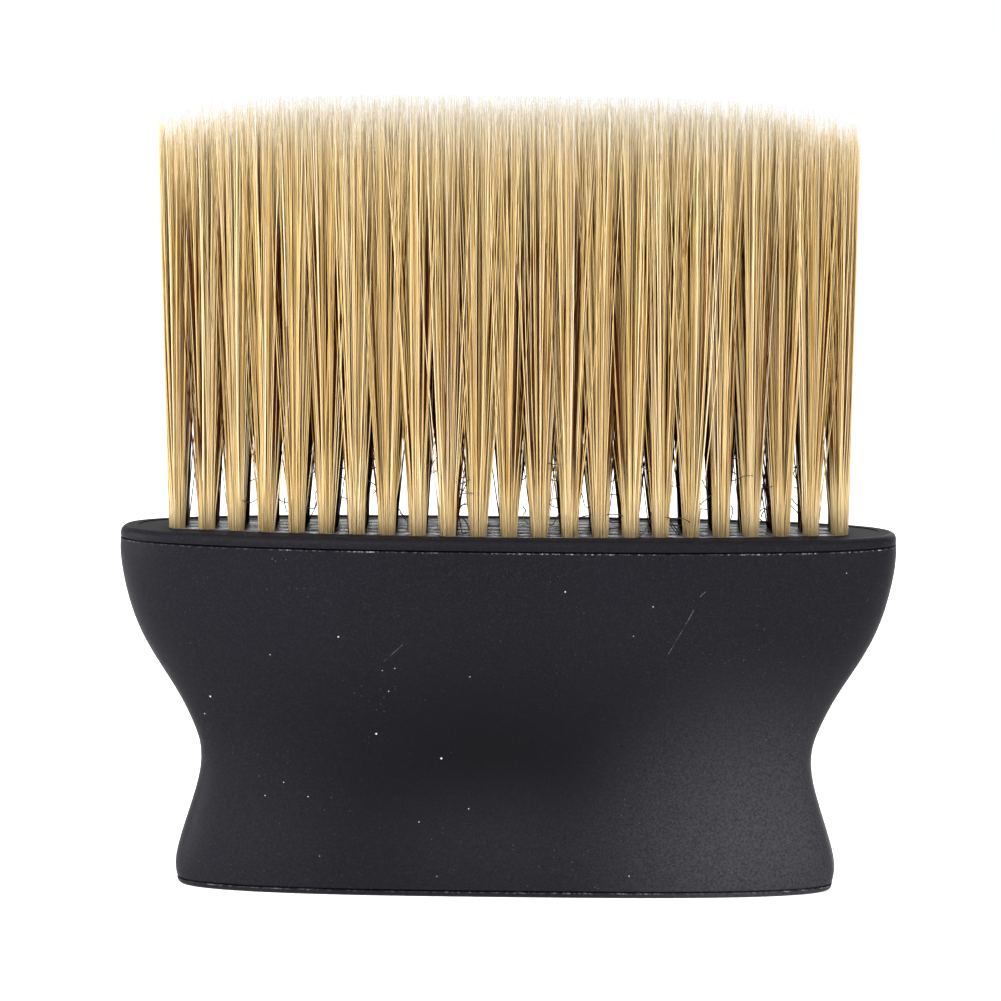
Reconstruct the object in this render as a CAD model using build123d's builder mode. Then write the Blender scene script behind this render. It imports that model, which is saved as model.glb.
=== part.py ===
from build123d import *
import os
from math import copysign, cos, pi, sin

os.makedirs("parts", exist_ok=True)

# ---- Driving dimensions, mm. X is the width, Y the depth (front at -Y), Z is up from the foot ----

# Every level outline is an oval squarer than an ellipse, and squarest at the foot.
head_power = 2.5
foot_power = 2.9
oval_steps = 32

# Handle shell: height, half-width and half-depth at each station, from the foot to the head.
foot_joint = 1.4
head_joint = 63.2
handle_stations = [
    (foot_joint, 59.8, 12.4),
    (5.0, 60.0, 12.3),
    (11.0, 58.4, 11.4),
    (17.5, 56.4, 10.3),
    (23.5, 55.5, 9.9),
    (30.0, 57.2, 10.4),
    (37.0, 60.9, 12.3),
    (44.0, 65.2, 14.9),
    (50.5, 68.0, 17.0),
    (57.0, 69.6, 18.2),
    (head_joint, 70.0, 18.5),
]
wall = 2.2

# Bristle block: rounded rim, a face set just below it, and a plug that drops into the handle.
head_half_width = 70.0
head_half_depth = 18.5
rim_top = 65.45
rim_width = 3.2
rim_radius = 1.35
face_height = 65.3
plug_half_width = 66.2
plug_half_depth = 14.9
plug_bottom = 55.0

# The shadow groove that marks each joint line.
groove_height = 0.35
groove_depth = 0.7

# Base cap: foot plate with a rounded lower edge and a locating lip inside the handle.
foot_half_width = 59.8
foot_half_depth = 12.4
foot_radius = 1.0
lip_half_width = 57.0
lip_half_depth = 9.5
lip_wall = 1.6
lip_top = 6.0

# Tuft field: columns along the width, more rows where the head is deeper.
column_count = 23
column_pitch = 5.41
field_half_depth_centre = 11.0
field_half_depth_end = 3.5
row_pitch_target = 4.4

# Tufts: a round root in a blind hole, then a flare to the width of its own cell.
hole_radius = 1.5
hole_depth = 8.0
root_radius = 1.42
flare_top = 92.0
cell_clearance = 0.12
tip_height_centre = 142.8
tip_height_end = 138.6
crown_power = 5

# Flat wire staples across the hole bottoms; their ends bite into the block.
staple_length = 3.4
staple_thickness = 0.4
staple_height = 1.6
staple_rise = 0.5
staple_gap = 0.05

hole_bottom = face_height - hole_depth
staple_bottom = hole_bottom + staple_rise
field_half_width = (column_count - 1) / 2 * column_pitch


def column_x(index):
    """Centre line of a column, counted from 0 at the left end."""
    return index * column_pitch - field_half_width


def column_rows(index):
    """Front-to-back positions of the tufts in a column, evenly spread over the field's depth."""
    inward = 1 - (column_x(index) / field_half_width) ** 2
    reach = field_half_depth_end + (field_half_depth_centre - field_half_depth_end) * inward
    gaps = round(2 * reach / row_pitch_target)
    return [-reach + row * 2 * reach / gaps for row in range(gaps + 1)]


def column_points(index):
    return [(column_x(index), y) for y in column_rows(index)]


def tip_height(index):
    """The brush is trimmed to a low crown that drops only near the ends."""
    drop = abs(column_x(index) / field_half_width) ** crown_power
    return tip_height_centre - (tip_height_centre - tip_height_end) * drop


def signed_power(value, power):
    return copysign(abs(value) ** power, value)


def oval(height, half_width, half_depth):
    """The level outline at a height, as a single smooth closed curve."""
    power = foot_power + (head_power - foot_power) * min(height / head_joint, 1)
    angles = [step * 2 * pi / oval_steps for step in range(oval_steps)]
    points = [
        (
            half_width * signed_power(cos(a), 2 / power),
            half_depth * signed_power(sin(a), 2 / power),
        )
        for a in angles
    ]
    with BuildSketch() as outline:
        with BuildLine():
            Spline(*points, periodic=True)
        make_face()
    return outline.sketch


def finish(part, label):
    part.label = label
    export_step(part, f"parts/{label}.step")


all_points = [point for index in range(column_count) for point in column_points(index)]

# ---- Handle body: a shell open at both ends ----
with BuildPart() as handle_body:
    for height, half_width, half_depth in handle_stations:
        with BuildSketch(Plane.XY.offset(height)):
            add(oval(height, half_width, half_depth))
    loft()
    for height, half_width, half_depth in handle_stations:
        with BuildSketch(Plane.XY.offset(height)):
            add(oval(height, half_width - wall, half_depth - wall))
    loft(mode=Mode.SUBTRACT)

# ---- Bristle block: plug, groove neck, rimmed head, drilled and slotted for the tufts ----
with BuildPart() as bristle_block:
    with BuildSketch(Plane.XY.offset(head_joint + groove_height)):
        add(oval(head_joint, head_half_width, head_half_depth))
    extrude(amount=rim_top - head_joint - groove_height)
    fillet(bristle_block.edges().group_by(Axis.Z)[-1], radius=rim_radius)
    with BuildSketch(Plane.XY.offset(face_height)):
        add(oval(head_joint, head_half_width - rim_width, head_half_depth - rim_width))
    extrude(amount=rim_top - face_height, mode=Mode.SUBTRACT)
    with BuildSketch(Plane.XY.offset(head_joint)):
        add(oval(head_joint, head_half_width - groove_depth, head_half_depth - groove_depth))
    extrude(amount=groove_height)
    with BuildSketch(Plane.XY.offset(plug_bottom)):
        add(oval(plug_bottom, plug_half_width, plug_half_depth))
    extrude(amount=head_joint - plug_bottom)
    with BuildSketch(Plane.XY.offset(face_height)):
        with Locations(*all_points):
            Circle(hole_radius)
    extrude(amount=-hole_depth, mode=Mode.SUBTRACT)
    with BuildSketch(Plane.XY.offset(staple_bottom - staple_gap)):
        with Locations(*all_points):
            Rectangle(staple_length + 2 * staple_gap, staple_thickness + 2 * staple_gap)
    extrude(amount=staple_height + 2 * staple_gap, mode=Mode.SUBTRACT)

# ---- Base cap: foot plate, groove neck and locating lip ----
with BuildPart() as base_cap:
    with BuildSketch(Plane.XY):
        add(oval(foot_joint, foot_half_width, foot_half_depth))
    extrude(amount=foot_joint - groove_height)
    fillet(base_cap.edges().group_by(Axis.Z)[0], radius=foot_radius)
    with BuildSketch(Plane.XY.offset(foot_joint - groove_height)):
        add(oval(foot_joint, foot_half_width - groove_depth, foot_half_depth - groove_depth))
    extrude(amount=groove_height)
    with BuildSketch(Plane.XY.offset(foot_joint)):
        add(oval(foot_joint, lip_half_width, lip_half_depth))
    extrude(amount=lip_top - foot_joint)
    with BuildSketch(Plane.XY.offset(foot_joint)):
        add(oval(foot_joint, lip_half_width - lip_wall, lip_half_depth - lip_wall))
    extrude(amount=lip_top - foot_joint, mode=Mode.SUBTRACT)

# ---- Anchor staples: one flat bar across the bottom of every hole ----
with BuildPart() as anchor_staples:
    with BuildSketch(Plane.XY.offset(staple_bottom)):
        with Locations(*all_points):
            Rectangle(staple_length, staple_thickness)
    extrude(amount=staple_height)

finish(handle_body.part, "handle_body")
finish(bristle_block.part, "bristle_block")
finish(base_cap.part, "base_cap")
finish(anchor_staples.part, "anchor_staples")

# ---- Tufts: one node per column, one solid per tuft, slotted where its staple passes ----
for index in range(column_count):
    rows = column_rows(index)
    cell_half_width = column_pitch / 2 - cell_clearance
    cell_half_depth = (rows[1] - rows[0]) / 2 - cell_clearance
    with BuildPart() as tuft_column:
        for point in column_points(index):
            with BuildSketch(Plane.XY.offset(face_height)):
                with Locations(point):
                    Circle(root_radius)
            with BuildSketch(Plane.XY.offset(flare_top)):
                with Locations(point):
                    Ellipse(cell_half_width, cell_half_depth)
            loft()
        with BuildSketch(Plane.XY.offset(hole_bottom)):
            with Locations(*column_points(index)):
                Circle(root_radius)
        extrude(amount=hole_depth)
        with BuildSketch(Plane.XY.offset(flare_top)):
            with Locations(*column_points(index)):
                Ellipse(cell_half_width, cell_half_depth)
        extrude(amount=tip_height(index) - flare_top)
        with BuildSketch(Plane.XY.offset(staple_bottom - staple_gap)):
            with Locations(*column_points(index)):
                Rectangle(2 * hole_radius, staple_thickness + 2 * staple_gap)
        extrude(amount=staple_height + 2 * staple_gap, mode=Mode.SUBTRACT)
    finish(tuft_column.part, f"tuft_column_{index + 1:02d}")
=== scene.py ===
import math

import bpy
import numpy as np
from mathutils import Matrix, Vector


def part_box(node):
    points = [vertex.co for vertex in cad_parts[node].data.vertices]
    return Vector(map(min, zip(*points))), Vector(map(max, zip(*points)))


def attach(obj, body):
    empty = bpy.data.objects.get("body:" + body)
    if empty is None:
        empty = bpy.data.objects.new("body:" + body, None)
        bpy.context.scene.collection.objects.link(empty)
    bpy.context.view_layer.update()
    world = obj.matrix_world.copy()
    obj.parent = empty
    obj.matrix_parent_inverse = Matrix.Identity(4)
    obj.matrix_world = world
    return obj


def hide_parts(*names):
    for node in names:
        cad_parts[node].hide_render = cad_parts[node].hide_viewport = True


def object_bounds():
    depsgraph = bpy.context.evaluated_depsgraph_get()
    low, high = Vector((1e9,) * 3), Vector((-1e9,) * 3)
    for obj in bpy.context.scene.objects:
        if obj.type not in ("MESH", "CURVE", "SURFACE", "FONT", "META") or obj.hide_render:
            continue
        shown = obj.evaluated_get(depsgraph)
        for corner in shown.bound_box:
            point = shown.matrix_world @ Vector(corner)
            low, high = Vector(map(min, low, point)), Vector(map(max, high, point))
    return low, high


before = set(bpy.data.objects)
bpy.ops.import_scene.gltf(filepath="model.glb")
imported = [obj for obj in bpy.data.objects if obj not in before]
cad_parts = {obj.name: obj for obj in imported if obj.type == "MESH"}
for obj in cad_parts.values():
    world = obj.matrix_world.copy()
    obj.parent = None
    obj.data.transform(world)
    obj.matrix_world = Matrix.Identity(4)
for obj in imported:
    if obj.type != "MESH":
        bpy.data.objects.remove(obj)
cad_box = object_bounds()
rng = np.random.default_rng(23)

MM = 0.001
TUFT_RADIUS = 1.42 * MM
FACE_DROP = 0.15 * MM

# ---- Places read from the frame ----
handle_low, handle_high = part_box("handle_body")
floor_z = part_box("base_cap")[0].z
rim_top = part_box("bristle_block")[1].z
face_z = rim_top - FACE_DROP
head_joint = handle_high.z
foot_joint = handle_low.z
tuft_nodes = sorted(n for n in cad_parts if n.startswith("tuft_column_"))


def tuft_centres(node):
    """The middles of a column's tufts, from the gaps along Y between their roots below the face."""
    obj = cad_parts[node]
    xyz = np.empty(len(obj.data.vertices) * 3)
    obj.data.vertices.foreach_get("co", xyz)
    xyz = xyz.reshape(-1, 3)
    roots = xyz[xyz[:, 2] < face_z - 0.5 * MM]
    ys = np.sort(roots[:, 1])
    cuts = np.where(np.diff(ys) > 0.4 * MM)[0]
    groups = np.split(ys, cuts + 1)
    middle_x = (roots[:, 0].min() + roots[:, 0].max()) / 2
    return [(middle_x, (g[0] + g[-1]) / 2) for g in groups]


end_column = tuft_centres(tuft_nodes[0])
middle_column = tuft_centres(tuft_nodes[len(tuft_nodes) // 2])
next_column = tuft_centres(tuft_nodes[len(tuft_nodes) // 2 + 1])
row_pitch = middle_column[1][1] - middle_column[0][1]
column_pitch = next_column[0][0] - middle_column[0][0]
field_half_width = abs(end_column[0][0])

# ---- Camera: the studio view, a little above the head and slightly rolled ----
CAMERA_LENS = 130.5
CAMERA_SHIFT = -0.0019
CAMERA_PLACE = (-1.55 * MM, -650 * MM, 148.2 * MM)
CAMERA_DOWN = 6.8
CAMERA_ROLL = 0.62


def make_camera():
    data = bpy.data.cameras.new("camera")
    data.sensor_width = 36.0
    data.lens = CAMERA_LENS
    data.shift_y = CAMERA_SHIFT
    data.clip_start = 0.01
    camera = bpy.data.objects.new("camera", data)
    bpy.context.scene.collection.objects.link(camera)
    look = Matrix.Rotation(math.radians(90 - CAMERA_DOWN), 4, "X")
    roll = Matrix.Rotation(math.radians(CAMERA_ROLL), 4, "Z")
    camera.matrix_world = Matrix.Translation(CAMERA_PLACE) @ look @ roll
    bpy.context.scene.camera = camera


# ---- Small helpers for node materials ----
def new_material(name):
    material = bpy.data.materials.new(name)
    material.use_nodes = True
    tree = material.node_tree
    tree.nodes.clear()
    out = tree.nodes.new("ShaderNodeOutputMaterial")
    shader = tree.nodes.new("ShaderNodeBsdfPrincipled")
    tree.links.new(shader.outputs["BSDF"], out.inputs["Surface"])
    return material, tree, shader


def feed(tree, socket, value):
    """Put a number or a colour on a socket, or link an output to it."""
    if isinstance(value, (int, float)):
        socket.default_value = value
    elif isinstance(value, tuple):
        socket.default_value = (*value, 1.0)
    else:
        tree.links.new(value, socket)


def add_node(tree, kind, **settings):
    node = tree.nodes.new(kind)
    for name, value in settings.items():
        if name in node.inputs:
            node.inputs[name].default_value = value
        else:
            setattr(node, name, value)
    return node


def object_place(tree):
    return tree.nodes.new("ShaderNodeTexCoord").outputs["Object"]


def split_vector(tree, vector):
    node = tree.nodes.new("ShaderNodeSeparateXYZ")
    tree.links.new(vector, node.inputs[0])
    return node.outputs["X"], node.outputs["Y"], node.outputs["Z"]


def plane_vector(tree, first, second):
    node = tree.nodes.new("ShaderNodeCombineXYZ")
    tree.links.new(first, node.inputs[0])
    tree.links.new(second, node.inputs[1])
    return node.outputs[0]


def math_node(tree, operation, *values):
    node = tree.nodes.new("ShaderNodeMath")
    node.operation = operation
    for socket, value in zip(node.inputs, values):
        feed(tree, socket, value)
    return node.outputs[0]


def multiply(tree, first, second):
    return math_node(tree, "MULTIPLY", first, second)


def ramp(tree, factor, stops):
    node = tree.nodes.new("ShaderNodeValToRGB")
    elements = node.color_ramp.elements
    while len(elements) < len(stops):
        elements.new(0.5)
    for element, (place, colour) in zip(elements, stops):
        element.position = place
        element.color = (*colour, 1.0)
    tree.links.new(factor, node.inputs["Fac"])
    return node.outputs["Color"]


def mix_colour(tree, factor, first, second, blend="MIX"):
    node = tree.nodes.new("ShaderNodeMix")
    node.data_type = "RGBA"
    node.blend_type = blend
    feed(tree, node.inputs[0], factor)
    feed(tree, node.inputs[6], first)
    feed(tree, node.inputs[7], second)
    return node.outputs[2]


def mix_value(tree, factor, first, second):
    node = tree.nodes.new("ShaderNodeMix")
    feed(tree, node.inputs[0], factor)
    feed(tree, node.inputs[2], first)
    feed(tree, node.inputs[3], second)
    return node.outputs[0]


def noise(tree, vector, scale, detail=3.0, roughness=0.5):
    node = add_node(tree, "ShaderNodeTexNoise", Scale=scale, Detail=detail, Roughness=roughness)
    tree.links.new(vector, node.inputs["Vector"])
    return node.outputs["Fac"]


def step_between(tree, value, low, high):
    """0 at low, 1 at high, smooth between them and level beyond them."""
    node = tree.nodes.new("ShaderNodeMapRange")
    node.interpolation_type = "SMOOTHSTEP"
    node.inputs["From Min"].default_value = low
    node.inputs["From Max"].default_value = high
    tree.links.new(value, node.inputs["Value"])
    return node.outputs["Result"]


def specks(tree, vector, scale, radius, share):
    """Round dots where the surface cuts a ball in a Voronoi cell that a random draw picks.

    radius is in cell widths, share is the part of the cells that hold a ball.
    """
    cell = add_node(tree, "ShaderNodeTexVoronoi", Scale=scale, Randomness=1.0)
    tree.links.new(vector, cell.inputs["Vector"])
    near = step_between(tree, cell.outputs["Distance"], radius, radius * 0.55)
    draw = split_vector(tree, cell.outputs["Color"])[0]
    return multiply(tree, near, math_node(tree, "LESS_THAN", draw, share))


def scratch(tree, place, start, end):
    """A straight hair-fine mark between two points of the front plane, in millimetres."""
    middle = ((start[0] + end[0]) / 2 * MM, (start[1] + end[1]) / 2 * MM, 0.0)
    turn = math.atan2(end[1] - start[1], end[0] - start[0])
    mapping = add_node(
        tree, "ShaderNodeMapping", vector_type="TEXTURE", Location=middle, Rotation=(0.0, 0.0, turn)
    )
    tree.links.new(place, mapping.inputs["Vector"])
    along, across, _ = split_vector(tree, mapping.outputs["Vector"])
    on_line = math_node(tree, "COMPARE", across, 0.0, SCRATCH_HALF_WIDTH)
    in_reach = math_node(tree, "COMPARE", along, 0.0, math.dist(start, end) / 2 * MM)
    return multiply(tree, on_line, in_reach)


def patch(tree, place, centre, radius):
    """1 at a point of the front plane, easing to 0 at the radius. Both are in millimetres."""
    distance = add_node(tree, "ShaderNodeVectorMath", operation="DISTANCE")
    tree.links.new(place, distance.inputs[0])
    distance.inputs[1].default_value = (centre[0] * MM, centre[1] * MM, 0.0)
    return step_between(tree, distance.outputs["Value"], radius * MM, 0.0)


# ---- Charcoal moulded plastic, with dust, scuffs, worn joint edges and painted light and shade ----
CHARCOAL = (0.0050, 0.0047, 0.0068)
# Painted shade for the groove at the foot of the head.
GROOVE_SHADE_BLACK = (0.001, 0.001, 0.001)
GRAIN_GREY = (0.017, 0.0162, 0.0200)
# Veil tone: partly dust, partly painted light of a soft reflection.
DUST_AND_LIT_VEIL_GREY = (0.034, 0.033, 0.038)
DUST_GREY = (0.105, 0.105, 0.11)
DUST_PALE = (0.62, 0.62, 0.63)
SCUFF_GREY = (0.15, 0.15, 0.155)
WORN_GREY = (0.36, 0.36, 0.37)
# Painted reflection on the face between the tufts.
FIELD_REFLECTION_GREY = (0.225, 0.223, 0.230)
SHINE = 0.055
HEAD_WEAR_DROP = 0.08 * MM
FOOT_WEAR_DROP = 0.43 * MM
WEAR_HALF_HEIGHT = 0.10 * MM
GROOVE_TOP = 0.3 * MM

# Noise scales, in cycles per metre.
CLOUD_SCALE = 22.0
STRETCH_SCALE = 55.0
CROWD_SCALE = 75.0
STAIN_SCALE = 420.0
BREAK_SCALE = 1300.0
DUST_AND_LIT_VEIL_SCALE = 2600.0
GRAIN_SCALE = 3300.0

# Patches of the front plane: centre and radius in millimetres, strength.
# The wide ones are drawn with X at half size.
# Painted shade across the waist.
SHADED_WAIST = ((-2, 25), 28, 0.85)
# The veils are partly dust and partly painted light of a soft reflection.
DUST_AND_LIT_VEIL_RIGHT = ((46, 9), 40, 0.74)
DUST_AND_LIT_VEIL_LEFT = ((-50, 10), 30, 0.10)
DUST_AND_LIT_VEIL_CENTRE = ((0, 11), 16, 0.12)

# Dust: cells per metre, ball radius in cells, share of cells, and for the bright ones strength.
FINE_DUST = (1500.0, 0.22, 0.14)
BRIGHT_SPECKS = ((600.0, 0.13, 0.012, 0.9), (900.0, 0.13, 0.010, 0.5))

# Scratches from point to point of the front plane, in millimetres.
SCRATCHES = (
    ((28, 44), (33.2, 54)),
    ((33.8, 55.6), (35.4, 57.2)),
    ((63.8, 53.5), (65, 56)),
    ((-22, 43), (-18.5, 46.4)),
)
SCRATCH_HALF_WIDTH = 0.04 * MM
SCRATCH_STRENGTH = 0.7
# The back is moved this far along X in the scratches' plane, so that it stays clear of them.
BACK_OFFSET = 1.7


def darker(colour, share):
    return tuple(channel * share for channel in colour)


def strong_patch(tree, place, setting):
    centre, radius, strength = setting
    return multiply(tree, patch(tree, place, centre, radius), strength)


def charcoal(name, joint_height=None, wear_share=0.6, plate=False):
    """The moulded plastic. joint_height is where worn flecks lie, plate adds the tuft field and the
    groove, with their painted reflection and shade.
    """
    material, tree, shader = new_material(name)
    place = object_place(tree)
    x, y, z = split_vector(tree, place)
    grain = noise(tree, place, GRAIN_SCALE, 2.0, 0.6)
    stain = noise(tree, place, STAIN_SCALE, 5.0, 0.7)

    cloud = noise(tree, place, CLOUD_SCALE)
    tone = ramp(tree, cloud, [(0.3, darker(CHARCOAL, 0.88)), (0.7, darker(CHARCOAL, 1.12))])
    grain_light = multiply(tree, step_between(tree, grain, 0.45, 0.75), 0.5)
    tone = mix_colour(tree, grain_light, tone, GRAIN_GREY)
    tone = add_dust_and_painted_light(tree, tone, place, x, z)
    tone = add_scratches(tree, tone, x, y, z, stain)
    if joint_height is not None:
        tone = add_wear(tree, tone, place, z, joint_height, wear_share)

    rough = math_node(tree, "MULTIPLY_ADD", stain, 0.2, 0.42)
    relief = math_node(tree, "ADD", grain, multiply(tree, stain, 0.6))
    if plate:
        tone, rough, relief = tuft_field(tree, tone, rough, relief, x, y)
        # Painted shade: the groove at the foot of the head is coloured near black.
        groove_shade = math_node(tree, "LESS_THAN", z, head_joint + GROOVE_TOP)
        tone = mix_colour(tree, groove_shade, tone, GROOVE_SHADE_BLACK)
    tree.links.new(tone, shader.inputs["Base Color"])
    tree.links.new(rough, shader.inputs["Roughness"])
    shader.inputs["Specular IOR Level"].default_value = SHINE
    bump = add_node(tree, "ShaderNodeBump", Strength=0.35, Distance=0.06 * MM)
    tree.links.new(relief, bump.inputs["Height"])
    tree.links.new(bump.outputs["Normal"], shader.inputs["Normal"])
    return material


def add_dust_and_painted_light(tree, tone, place, x, z):
    """A darker waist that is painted shade, veils on the lower corners that are partly dust and
    partly painted light, fine dust and a few bright specks.
    """
    front = plane_vector(tree, x, z)
    squeezed = plane_vector(tree, multiply(tree, x, 0.5), z)
    # Painted shade: the waist is darkened.
    tone = mix_colour(tree, strong_patch(tree, squeezed, SHADED_WAIST), tone, darker(CHARCOAL, 0.40))

    # Lighter veils on the lower corners, partly dust and partly painted light of a soft reflection.
    corners = math_node(
        tree, "ADD", strong_patch(tree, front, DUST_AND_LIT_VEIL_LEFT), strong_patch(tree, squeezed, DUST_AND_LIT_VEIL_CENTRE)
    )
    dust_and_lit_veil = math_node(tree, "ADD", strong_patch(tree, front, DUST_AND_LIT_VEIL_RIGHT), corners)
    uneven = step_between(tree, noise(tree, place, DUST_AND_LIT_VEIL_SCALE, 3.0, 0.7), 0.36, 0.64)
    uneven = math_node(tree, "MULTIPLY_ADD", uneven, 0.9, 0.55)
    tone = mix_colour(tree, multiply(tree, dust_and_lit_veil, uneven), tone, DUST_AND_LIT_VEIL_GREY)

    crowd = step_between(tree, noise(tree, place, CROWD_SCALE, 3.0, 0.7), 0.44, 0.66)
    crowd = multiply(tree, crowd, math_node(tree, "MULTIPLY_ADD", dust_and_lit_veil, 0.8, 0.3))
    fine = multiply(tree, specks(tree, place, *FINE_DUST), crowd)
    tone = mix_colour(tree, fine, tone, DUST_GREY)
    for scale, radius, share, strength in BRIGHT_SPECKS:
        dots = multiply(tree, specks(tree, place, scale, radius, share), strength)
        tone = mix_colour(tree, dots, tone, DUST_PALE)
    return tone


def add_scratches(tree, tone, x, y, z, stain):
    behind = math_node(tree, "GREATER_THAN", y, 0.0)
    place = plane_vector(tree, math_node(tree, "MULTIPLY_ADD", behind, BACK_OFFSET, x), z)
    broken = step_between(tree, stain, 0.44, 0.62)
    for start, end in SCRATCHES:
        mark = multiply(tree, scratch(tree, place, start, end), broken)
        tone = mix_colour(tree, multiply(tree, mark, SCRATCH_STRENGTH), tone, SCUFF_GREY)
    return tone


def add_wear(tree, tone, place, z, height, share):
    """Pale flecks in a thin band at a height, thicker along some stretches of it."""
    band = math_node(tree, "COMPARE", z, height, WEAR_HALF_HEIGHT)
    breaks = step_between(tree, noise(tree, place, BREAK_SCALE, 4.0, 0.8), 0.48, 0.66)
    stretch = step_between(tree, noise(tree, place, STRETCH_SCALE, 3.0, 0.6), 0.46, 0.60)
    worn = multiply(tree, breaks, math_node(tree, "MULTIPLY_ADD", stretch, share, 0.12))
    return mix_colour(tree, multiply(tree, band, worn), tone, WORN_GREY)


# The level face between the tufts.
FACE_ROUGHNESS = 0.70
FIELD_ROUGHNESS = 0.12
RIB_SCALE = 900.0
RIB_STRETCH = 0.30
RIB_RELIEF = 6.0
FIELD_FADE = 0.5 * MM


def tuft_field(tree, tone, rough, relief, x, y):
    """Glossier between the tufts and lighter there by a painted reflection, with a fine sideways
    grain and painted shadow of each tuft row.
    """
    normal = tree.nodes.new("ShaderNodeNewGeometry").outputs["Normal"]
    level = step_between(tree, split_vector(tree, normal)[2], 0.985, 0.999)
    end_reach = abs(end_column[0][1])
    middle_reach = abs(middle_column[0][1])
    bow = (end_reach - middle_reach) / field_half_width ** 2
    bowed = multiply(tree, multiply(tree, x, x), bow)
    edge = math_node(tree, "ADD", bowed, middle_reach + 1.2 * TUFT_RADIUS)
    front_room = math_node(tree, "SUBTRACT", edge, math_node(tree, "ABSOLUTE", y))
    end_edge = field_half_width + 0.4 * TUFT_RADIUS
    end_room = math_node(tree, "SUBTRACT", end_edge, math_node(tree, "ABSOLUTE", x))
    room = math_node(tree, "MINIMUM", front_room, end_room)
    field = multiply(tree, level, step_between(tree, room, -FIELD_FADE, FIELD_FADE))

    ribs = noise(tree, plane_vector(tree, multiply(tree, x, RIB_STRETCH), y), RIB_SCALE, 3.0, 0.7)
    row_wave = wave(tree, y, row_pitch)
    beside_column = step_between(tree, wave(tree, x, column_pitch), 0.10, 0.62)
    # Painted shadow in stripes at the tuft-row pitch, stronger beside the columns.
    shade = multiply(
        tree,
        math_node(tree, "SUBTRACT", 1.0, row_wave),
        math_node(tree, "MULTIPLY_ADD", beside_column, 0.35, 0.65),
    )
    unshaded = math_node(tree, "SUBTRACT", 1.0, shade)
    # Painted reflection, broken by the ribs and the row shadows, lightens the face.
    lit = multiply(tree, field, multiply(tree, step_between(tree, ribs, 0.36, 0.56), unshaded))
    tone = mix_colour(tree, lit, tone, FIELD_REFLECTION_GREY)
    rough = mix_value(tree, lit, mix_value(tree, level, rough, FACE_ROUGHNESS), FIELD_ROUGHNESS)
    relief = math_node(tree, "ADD", relief, multiply(tree, field, multiply(tree, ribs, RIB_RELIEF)))
    return tone, rough, relief


def wave(tree, value, pitch):
    """1 at 0 and at every whole pitch, 0 halfway between."""
    turned = math_node(tree, "COSINE", multiply(tree, value, math.pi / pitch))
    return math_node(tree, "ABSOLUTE", turned)


def wire_steel():
    material, tree, shader = new_material("staple_wire")
    streak = noise(tree, object_place(tree), 2600.0, 3.0, 0.6)
    tone = ramp(tree, streak, [(0.3, (0.42, 0.42, 0.43)), (0.7, (0.62, 0.62, 0.63))])
    tree.links.new(tone, shader.inputs["Base Color"])
    tree.links.new(math_node(tree, "MULTIPLY_ADD", streak, 0.2, 0.25), shader.inputs["Roughness"])
    shader.inputs["Metallic"].default_value = 1.0
    return material


# ---- Bristle colour: U picks the filament's bin, V runs from root to tip ----
# Bins up to DEEP_SHADE_BINS are filaments inside the field, then up to LOCK_SHADE_BINS filaments
# between locks; both take painted shade.
STRAND_BINS = 128
DEEP_SHADE_BINS = 24
LOCK_SHADE_BINS = 48

# Colour from root to tip; the dip at the very root is painted shade where the filaments enter the
# holes.
ROOT_TO_TIP = [
    (0.00, (0.54, 0.400, 0.190)),
    (0.03, (0.60, 0.460, 0.245)),
    (0.14, (0.55, 0.412, 0.206)),
    (0.35, (0.53, 0.383, 0.182)),
    (0.70, (0.57, 0.422, 0.198)),
    (0.84, (0.58, 0.450, 0.238)),
    (0.92, (0.55, 0.475, 0.345)),
    (0.98, (0.49, 0.470, 0.425)),
]
# Tone of each filament; the palest bins, towards 1.0, are painted highlights.
STRAND_TONES_AND_HIGHLIGHTS = [
    (0.00, (0.56, 0.40, 0.14)),
    (0.35, (0.90, 0.85, 0.70)),
    (0.75, (1.04, 1.05, 1.06)),
    (1.00, (1.45, 1.66, 2.40)),
]
# Painted shade colours for the deep and shaded filaments.
PAINTED_SHADE_BROWNS = [(0.0, (0.014, 0.002, 0.0005)), (1.0, (0.110, 0.024, 0.001))]
PLAIN_SHADE = (1.0, 0.98, 0.96)
PALE_STREAK = (0.74, 0.58, 0.33)


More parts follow.
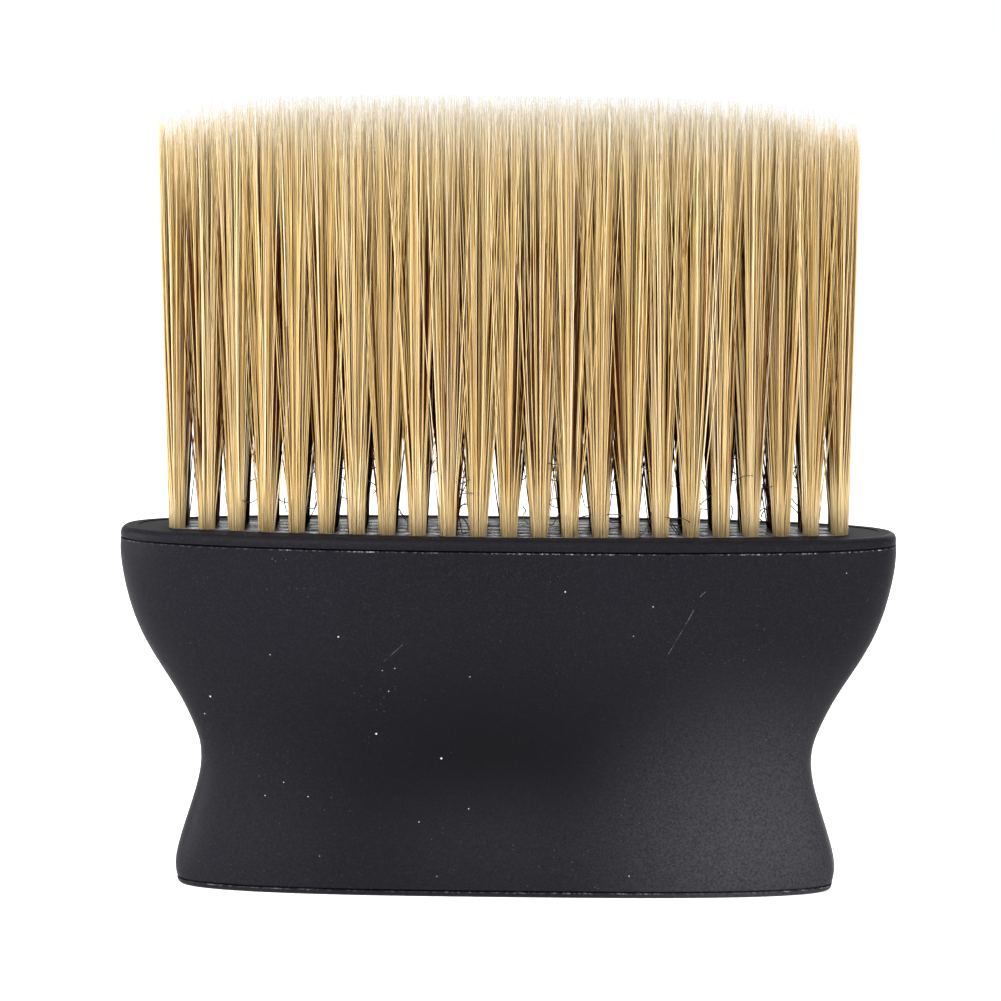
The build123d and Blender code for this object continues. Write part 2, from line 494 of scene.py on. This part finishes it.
def bristle_material(name):
    material, tree, shader = new_material(name)
    uv = tree.nodes.new("ShaderNodeUVMap")
    uv.uv_map = "OFBake"
    u, along, _ = split_vector(tree, uv.outputs["UV"])
    strand = math_node(tree, "FLOOR", multiply(tree, u, float(STRAND_BINS)))
    draw = add_node(tree, "ShaderNodeTexWhiteNoise", noise_dimensions="1D")
    tree.links.new(strand, draw.inputs["W"])
    pick = draw.outputs["Value"]

    # Neighbouring filaments differ most along the middle, least at the root and the tip.
    past_root = math_node(tree, "MULTIPLY_ADD", step_between(tree, along, 0.02, 0.18), 0.6, 0.4)
    before_tip = math_node(tree, "MULTIPLY_ADD", step_between(tree, along, 0.92, 0.68), 0.4, 0.6)
    contrast = multiply(tree, past_root, before_tip)
    shade = mix_colour(tree, contrast, PLAIN_SHADE, ramp(tree, pick, STRAND_TONES_AND_HIGHLIGHTS))
    colour = mix_colour(tree, 1.0, ramp(tree, along, ROOT_TO_TIP), shade, "MULTIPLY")

    streak_place = plane_vector(tree, multiply(tree, strand, 3.7), multiply(tree, along, 9.0))
    streak = noise(tree, streak_place, 1.0, 2.0)
    pale = multiply(tree, step_between(tree, streak, 0.40, 0.75), 0.30)
    colour = mix_colour(tree, pale, colour, PALE_STREAK)

    # Painted shade: deep filaments are dark from the root, shaded ones darken above the root, and
    # both fade out towards the tips.
    any_shade_strand = math_node(tree, "LESS_THAN", strand, LOCK_SHADE_BINS - 0.5)
    deep_shade_strand = math_node(tree, "LESS_THAN", strand, DEEP_SHADE_BINS - 0.5)
    root_fade = math_node(tree, "MAXIMUM", deep_shade_strand, step_between(tree, along, 0.05, 0.22))
    tip_fade = step_between(tree, along, 0.93, 0.64)
    painted_shade_amount = multiply(tree, any_shade_strand, multiply(tree, root_fade, tip_fade))
    colour = mix_colour(tree, painted_shade_amount, colour, ramp(tree, pick, PAINTED_SHADE_BROWNS))
    tree.links.new(colour, shader.inputs["Base Color"])
    tree.links.new(math_node(tree, "MULTIPLY_ADD", pick, 0.16, 0.30), shader.inputs["Roughness"])
    shader.inputs["Specular IOR Level"].default_value = 0.05
    return material


def dark_hair():
    material, tree, shader = new_material("loose_hair")
    patchy = noise(tree, object_place(tree), 300.0)
    tone = ramp(tree, patchy, [(0.35, (0.006, 0.003, 0.002)), (0.7, (0.030, 0.015, 0.009))])
    tree.links.new(tone, shader.inputs["Base Color"])
    shader.inputs["Roughness"].default_value = 0.4
    return material


# ---- Filament meshes ----
SIDES = 4
RINGS = 9
ROOT_SINK = 1.0 * MM


def tube_mesh(name, paths, radii, spin, strand_u, root_z, tip_z):
    """Closed thin tubes, one per path. paths is (count, rings, 3), radii is (count, rings)."""
    count, rings, _ = paths.shape
    along = np.gradient(paths, axis=1)
    along /= np.linalg.norm(along, axis=2, keepdims=True)
    across = np.cross(along, (0.0, 1.0, 0.0))
    across /= np.linalg.norm(across, axis=2, keepdims=True)
    outward = np.cross(along, across)
    angles = spin[:, None] + np.arange(SIDES)[None, :] * (2 * math.pi / SIDES)
    ring = (
        across[:, :, None, :] * np.cos(angles)[:, None, :, None]
        + outward[:, :, None, :] * np.sin(angles)[:, None, :, None]
    )
    points = paths[:, :, None, :] + radii[:, :, None, None] * ring
    per_strand = rings * SIDES
    first = (np.arange(count) * per_strand)[:, None, None]
    level = (np.arange(rings - 1) * SIDES)[None, :, None]
    side = np.arange(SIDES)[None, None, :]
    following = (side + 1) % SIDES
    quads = np.stack([
        first + level + side,
        first + level + following,
        first + level + SIDES + following,
        first + level + SIDES + side,
    ], axis=-1).reshape(-1, 4)
    strand_start = (np.arange(count) * per_strand)[:, None]
    root_caps = strand_start + np.arange(SIDES)[::-1][None, :]
    tip_caps = strand_start + (rings - 1) * SIDES + np.arange(SIDES)[None, :]
    faces = np.concatenate([quads, root_caps, tip_caps])

    mesh = bpy.data.meshes.new(name)
    mesh.vertices.add(count * per_strand)
    mesh.vertices.foreach_set("co", points.reshape(-1).astype(np.float32))
    mesh.loops.add(faces.size)
    mesh.loops.foreach_set("vertex_index", faces.reshape(-1).astype(np.int32))
    mesh.polygons.add(len(faces))
    mesh.polygons.foreach_set("loop_start", (np.arange(len(faces)) * 4).astype(np.int32))
    mesh.polygons.foreach_set("use_smooth", np.ones(len(faces), bool))
    mesh.update(calc_edges=True)

    layer = mesh.uv_layers.new(name="OFBake")
    vertex = faces.reshape(-1)
    in_bin = (vertex % SIDES) / SIDES * 0.6 + 0.2
    u = strand_u[vertex // per_strand] + in_bin / STRAND_BINS
    v = np.clip((points.reshape(-1, 3)[vertex, 2] - root_z) / (tip_z - root_z), 0.0, 1.0)
    layer.data.foreach_set("uv", np.stack([u, v], axis=-1).reshape(-1).astype(np.float32))
    return mesh


FILAMENTS_PER_TUFT = 190
FILAMENT_RADIUS = 0.098 * MM
LOCKS_PER_TUFT = 30
LOOSE_SHARE = 0.32
WILD_SHARE = 0.3
WILD_SPREAD = 2.2
GATHER = 0.7
SHADED_THICKNESS = 1.25

# Slopes are sideways travel per unit of height.
FAN = 0.050
LEAN = -0.0104
LOCK_SLOPE_SPREAD = 0.012
IN_LOCK_SLOPE_SPREAD = 0.0045
OWN_SLOPE_SPREAD = 0.020
EDGE_SLOPE = 0.008
EDGE_PRESS = 0.86

BEND_SPREAD = 0.7 * MM
SWAY_SPREAD = 0.12 * MM
TIP_DROP_MEAN = 3.9
TIP_DROP_SPREAD = 2.0
TIP_DROP_MOST = 10.0


def disc_points(count):
    """Even random points in a disc of radius 1."""
    ring = np.sqrt(rng.random(count))
    turn = rng.random(count) * 2 * math.pi
    return np.stack([ring * np.cos(turn), ring * np.sin(turn)], axis=-1)


def packed_points(count):
    """Close-packed points in a disc of radius 1, on a spiral with a little jitter."""
    step = np.arange(count) + 0.5
    ring = np.sqrt(step / count)
    turn = step * math.pi * (3 - math.sqrt(5)) + rng.random() * 2 * math.pi
    spiral = np.stack([ring * np.cos(turn), ring * np.sin(turn)], axis=-1)
    return spiral + rng.normal(0, 0.03, (count, 2))


def ease(values, low, high):
    part = np.clip((values - low) / (high - low), 0, 1)
    return part * part * (3 - 2 * part)


def tuft_paths(centre, tip_z):
    """Paths, radii and shading of one tuft's filaments.

    They are packed at the root, gather into locks and cross towards the tips.
    """
    count = FILAMENTS_PER_TUFT
    root = packed_points(count)
    lock_root = disc_points(LOCKS_PER_TUFT) * 0.95
    lock_slope = lock_root * FAN + rng.normal(0, LOCK_SLOPE_SPREAD, (LOCKS_PER_TUFT, 2))
    # Shaded locks, likelier at the tuft's sides, take painted shade in the bristle colour.
    shaded_lock = rng.random(LOCKS_PER_TUFT) < 0.06 + 0.42 * lock_root[:, 0] ** 2
    lock = np.argmin(np.linalg.norm(root[:, None, :] - lock_root[None, :, :], axis=2), axis=1)
    loose = rng.random((count, 1)) < LOOSE_SHARE
    own_slope = root * FAN + rng.normal(0, OWN_SLOPE_SPREAD, (count, 2))
    wild = (rng.random((count, 1)) < WILD_SHARE) & loose
    own_slope = np.where(wild, own_slope * WILD_SPREAD, own_slope)
    in_lock_slope = lock_slope[lock] + rng.normal(0, IN_LOCK_SLOPE_SPREAD, (count, 2))
    slope = np.where(loose, own_slope, in_lock_slope)

    bend = rng.normal(0, BEND_SPREAD, (count, 2)) - np.where(wild, own_slope * 40 * MM, 0.0)
    sway = rng.normal(0, SWAY_SPREAD, (count, 2))
    phase = rng.random((count, 1)) * 2 * math.pi
    start = face_z - ROOT_SINK
    tip_drop = np.clip(rng.normal(TIP_DROP_MEAN, TIP_DROP_SPREAD, count), 0.0, TIP_DROP_MOST) * MM
    top = tip_z - tip_drop
    t = np.linspace(0, 1, RINGS)
    z = start + (top - start)[:, None] * t[None, :]
    rise = np.maximum(z - face_z, 0.0)
    gather = GATHER * ease(t, 0.02, 0.30) * (1 - 0.5 * ease(t, 0.45, 1.0))
    gather = gather[None, :, None] * (1 - loose[:, None, :])
    foot = root[:, None, :] * (1 - gather) + lock_root[lock][:, None, :] * gather
    xy = (
        np.asarray(centre)[None, None, :]
        + foot * TUFT_RADIUS * 0.96
        + slope[:, None, :] * rise[:, :, None]
        + bend[:, None, :] * (t[None, :, None] ** 2)
        + sway[:, None, :] * np.sin(t[None, :, None] * 5.0 + phase[:, :, None]) * t[None, :, None]
    )
    edge = field_half_width + TUFT_RADIUS + rise * EDGE_SLOPE
    beyond = np.maximum(np.abs(xy[:, :, 0]) - edge, 0.0)
    xy[:, :, 0] -= np.sign(xy[:, :, 0]) * beyond * EDGE_PRESS
    xy[:, :, 0] += LEAN * rise
    paths = np.concatenate([xy, z[:, :, None]], axis=-1)

    thickness = FILAMENT_RADIUS * rng.uniform(0.72, 1.15, count)
    shaded = shaded_lock[lock] & ~loose[:, 0] & (rng.random(count) < 0.85)
    thickness = thickness * np.where(shaded, SHADED_THICKNESS, 1.0)
    root_swell = 0.30 * np.clip(1 - t / 0.22, 0, 1)
    tip_thinning = 0.45 * np.clip((t - 0.80) / 0.2, 0, 1)
    taper = 1.0 + root_swell - 0.25 * t - tip_thinning
    return paths, thickness[:, None] * taper[None, :], shaded


def pick_strands(paths, shaded, rows):
    """Bins for the filaments: the deep ones lie inside the field, the shaded ones between locks,
    and both take painted shade.
    """
    root = paths[:, 0, :]
    from_front = root[:, 1] - (rows[0][1] - TUFT_RADIUS)
    from_back = (rows[-1][1] + TUFT_RADIUS) - root[:, 1]
    from_side = field_half_width + TUFT_RADIUS - np.abs(root[:, 0])
    depth = np.minimum(np.minimum(from_front, from_back), from_side)
    inward = np.clip((depth - 0.8 * MM) / (2.3 * MM), 0, 1)
    count = len(paths)
    deep = rng.random(count) < 0.85 * inward ** 1.3
    shaded = shaded | (rng.random(count) < 0.10)
    shaded_bins = rng.integers(DEEP_SHADE_BINS, LOCK_SHADE_BINS, count)
    light_bins = rng.integers(LOCK_SHADE_BINS, STRAND_BINS, count)
    deep_bins = rng.integers(0, DEEP_SHADE_BINS, count)
    return np.where(deep, deep_bins, np.where(shaded, shaded_bins, light_bins)) / STRAND_BINS


def add_piece(name, mesh, material):
    mesh.materials.append(material)
    piece = bpy.data.objects.new(name, mesh)
    bpy.context.scene.collection.objects.link(piece)
    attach(piece, "root")


def build_tufts(material):
    for node in tuft_nodes:
        tip_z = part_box(node)[1].z
        rows = tuft_centres(node)
        parts = [tuft_paths(centre, tip_z) for centre in rows]
        paths, radii, shaded = (np.concatenate(each) for each in zip(*parts))
        spin = rng.random(len(paths)) * math.pi
        strand_u = pick_strands(paths, shaded, rows)
        name = node.replace("tuft_column", "bristles")
        mesh = tube_mesh(name, paths, radii, spin, strand_u, face_z - ROOT_SINK, cad_box[1].z)
        add_piece(name, mesh, material)
        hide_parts(node)


LOOSE_HAIRS = 84
HAIR_RINGS = 12
HAIR_RADIUS = 0.115 * MM


def build_loose_hairs(material):
    """Short dark shed hairs caught in the gaps between the front tufts."""
    t = np.linspace(0, 1, HAIR_RINGS)[:, None]
    paths = []
    for _ in range(LOOSE_HAIRS):
        x, y = tuft_centres(tuft_nodes[rng.integers(2, len(tuft_nodes) - 2)])[0]
        middle = np.array([
            x + column_pitch * (0.5 + rng.uniform(-0.12, 0.12)),
            y + rng.uniform(-0.3, 1.2) * row_pitch,
            face_z + (1 + 13 * rng.random() ** 1.4) * MM,
        ])
        length = rng.uniform(2.4, 5.5) * MM
        turn = rng.uniform(-0.5, 1.35) * rng.choice([-1, 1])
        half = np.array([math.cos(turn), rng.uniform(-0.2, 0.2), math.sin(turn)]) * length / 2
        line = middle - half + 2 * half * t
        line = line + rng.normal(0, 0.45 * MM, 3) * np.sin(math.pi * t)
        line = line + rng.normal(0, 0.22 * MM, 3) * np.sin(2 * math.pi * t)
        line[:, 2] = np.maximum(line[:, 2], face_z + 0.15 * MM)
        paths.append(line)
    radii = HAIR_RADIUS * (1 - 0.35 * t[:, 0]) * np.ones((LOOSE_HAIRS, 1))
    still = np.zeros(LOOSE_HAIRS)
    mesh = tube_mesh("loose_hairs", np.array(paths), radii, still, still, face_z, cad_box[1].z)
    add_piece("loose_hairs", mesh, material)


# ---- Room: pale floor, white surround, soft lights ----
FLOOR_GAP = 0.02 * MM
FLOOR_GLOW = 0.78
AMBIENT = 0.24
MIRRORED = 0.95
LIGHT_TARGET = Vector((0, 0, 0.075))

# Name, place, size in metres, power in watts.
LIGHTS = (
    ("key", (-0.35, -0.80, 0.75), 0.45, 12.5),
    ("fill", (0.75, -0.65, 0.35), 0.5, 6.5),
    ("side", (-0.95, -0.10, 0.25), 0.4, 10.5),
    ("top", (0.0, -0.10, 1.1), 0.7, 4.3),
    ("back", (0.2, 0.9, 0.7), 0.9, 5.0),
)


def make_floor():
    bpy.ops.mesh.primitive_plane_add(size=12.0, location=(0, 0, floor_z - FLOOR_GAP))
    floor = bpy.context.object
    floor.name = "floor"
    material, tree, shader = new_material("floor")
    patchy = noise(tree, object_place(tree), 3.0)
    tone = ramp(tree, patchy, [(0.3, (0.88, 0.88, 0.88)), (0.7, (0.90, 0.90, 0.90))])
    tree.links.new(tone, shader.inputs["Base Color"])
    shader.inputs["Roughness"].default_value = 0.9
    shader.inputs["Emission Color"].default_value = (1.0, 1.0, 1.0, 1.0)
    shader.inputs["Emission Strength"].default_value = FLOOR_GLOW
    floor.data.materials.append(material)


def make_world():
    """White where it is seen, bright where it is mirrored, dim as ambient light."""
    world = bpy.data.worlds.new("studio")
    world.use_nodes = True
    tree = world.node_tree
    background = tree.nodes["Background"]
    background.inputs["Color"].default_value = (1.0, 1.0, 1.0, 1.0)
    path = tree.nodes.new("ShaderNodeLightPath")
    mirrored = path.outputs["Is Glossy Ray"]
    unseen = math_node(tree, "MULTIPLY_ADD", mirrored, MIRRORED - AMBIENT, AMBIENT)
    strength = math_node(tree, "MAXIMUM", unseen, path.outputs["Is Camera Ray"])
    tree.links.new(strength, background.inputs["Strength"])
    bpy.context.scene.world = world


def add_light(name, place, size, power):
    data = bpy.data.lights.new(name, "AREA")
    data.shape = "SQUARE"
    data.size = size
    data.energy = power
    light = bpy.data.objects.new(name, data)
    bpy.context.scene.collection.objects.link(light)
    light.location = place
    light.rotation_euler = (LIGHT_TARGET - light.location).to_track_quat("-Z", "Y").to_euler()


make_camera()
make_floor()
make_world()
for light_settings in LIGHTS:
    add_light(*light_settings)
bpy.context.scene.view_settings.view_transform = "Standard"

finishes = {
    "handle_body": charcoal("handle_plastic", head_joint - HEAD_WEAR_DROP),
    "bristle_block": charcoal("head_plastic", plate=True),
    "base_cap": charcoal("base_plastic", foot_joint - FOOT_WEAR_DROP, wear_share=0.3),
    "anchor_staples": wire_steel(),
}
for node, material in finishes.items():
    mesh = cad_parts[node].data
    mesh.materials.clear()
    mesh.materials.append(material)

build_tufts(bristle_material("bristle"))
build_loose_hairs(dark_hair())
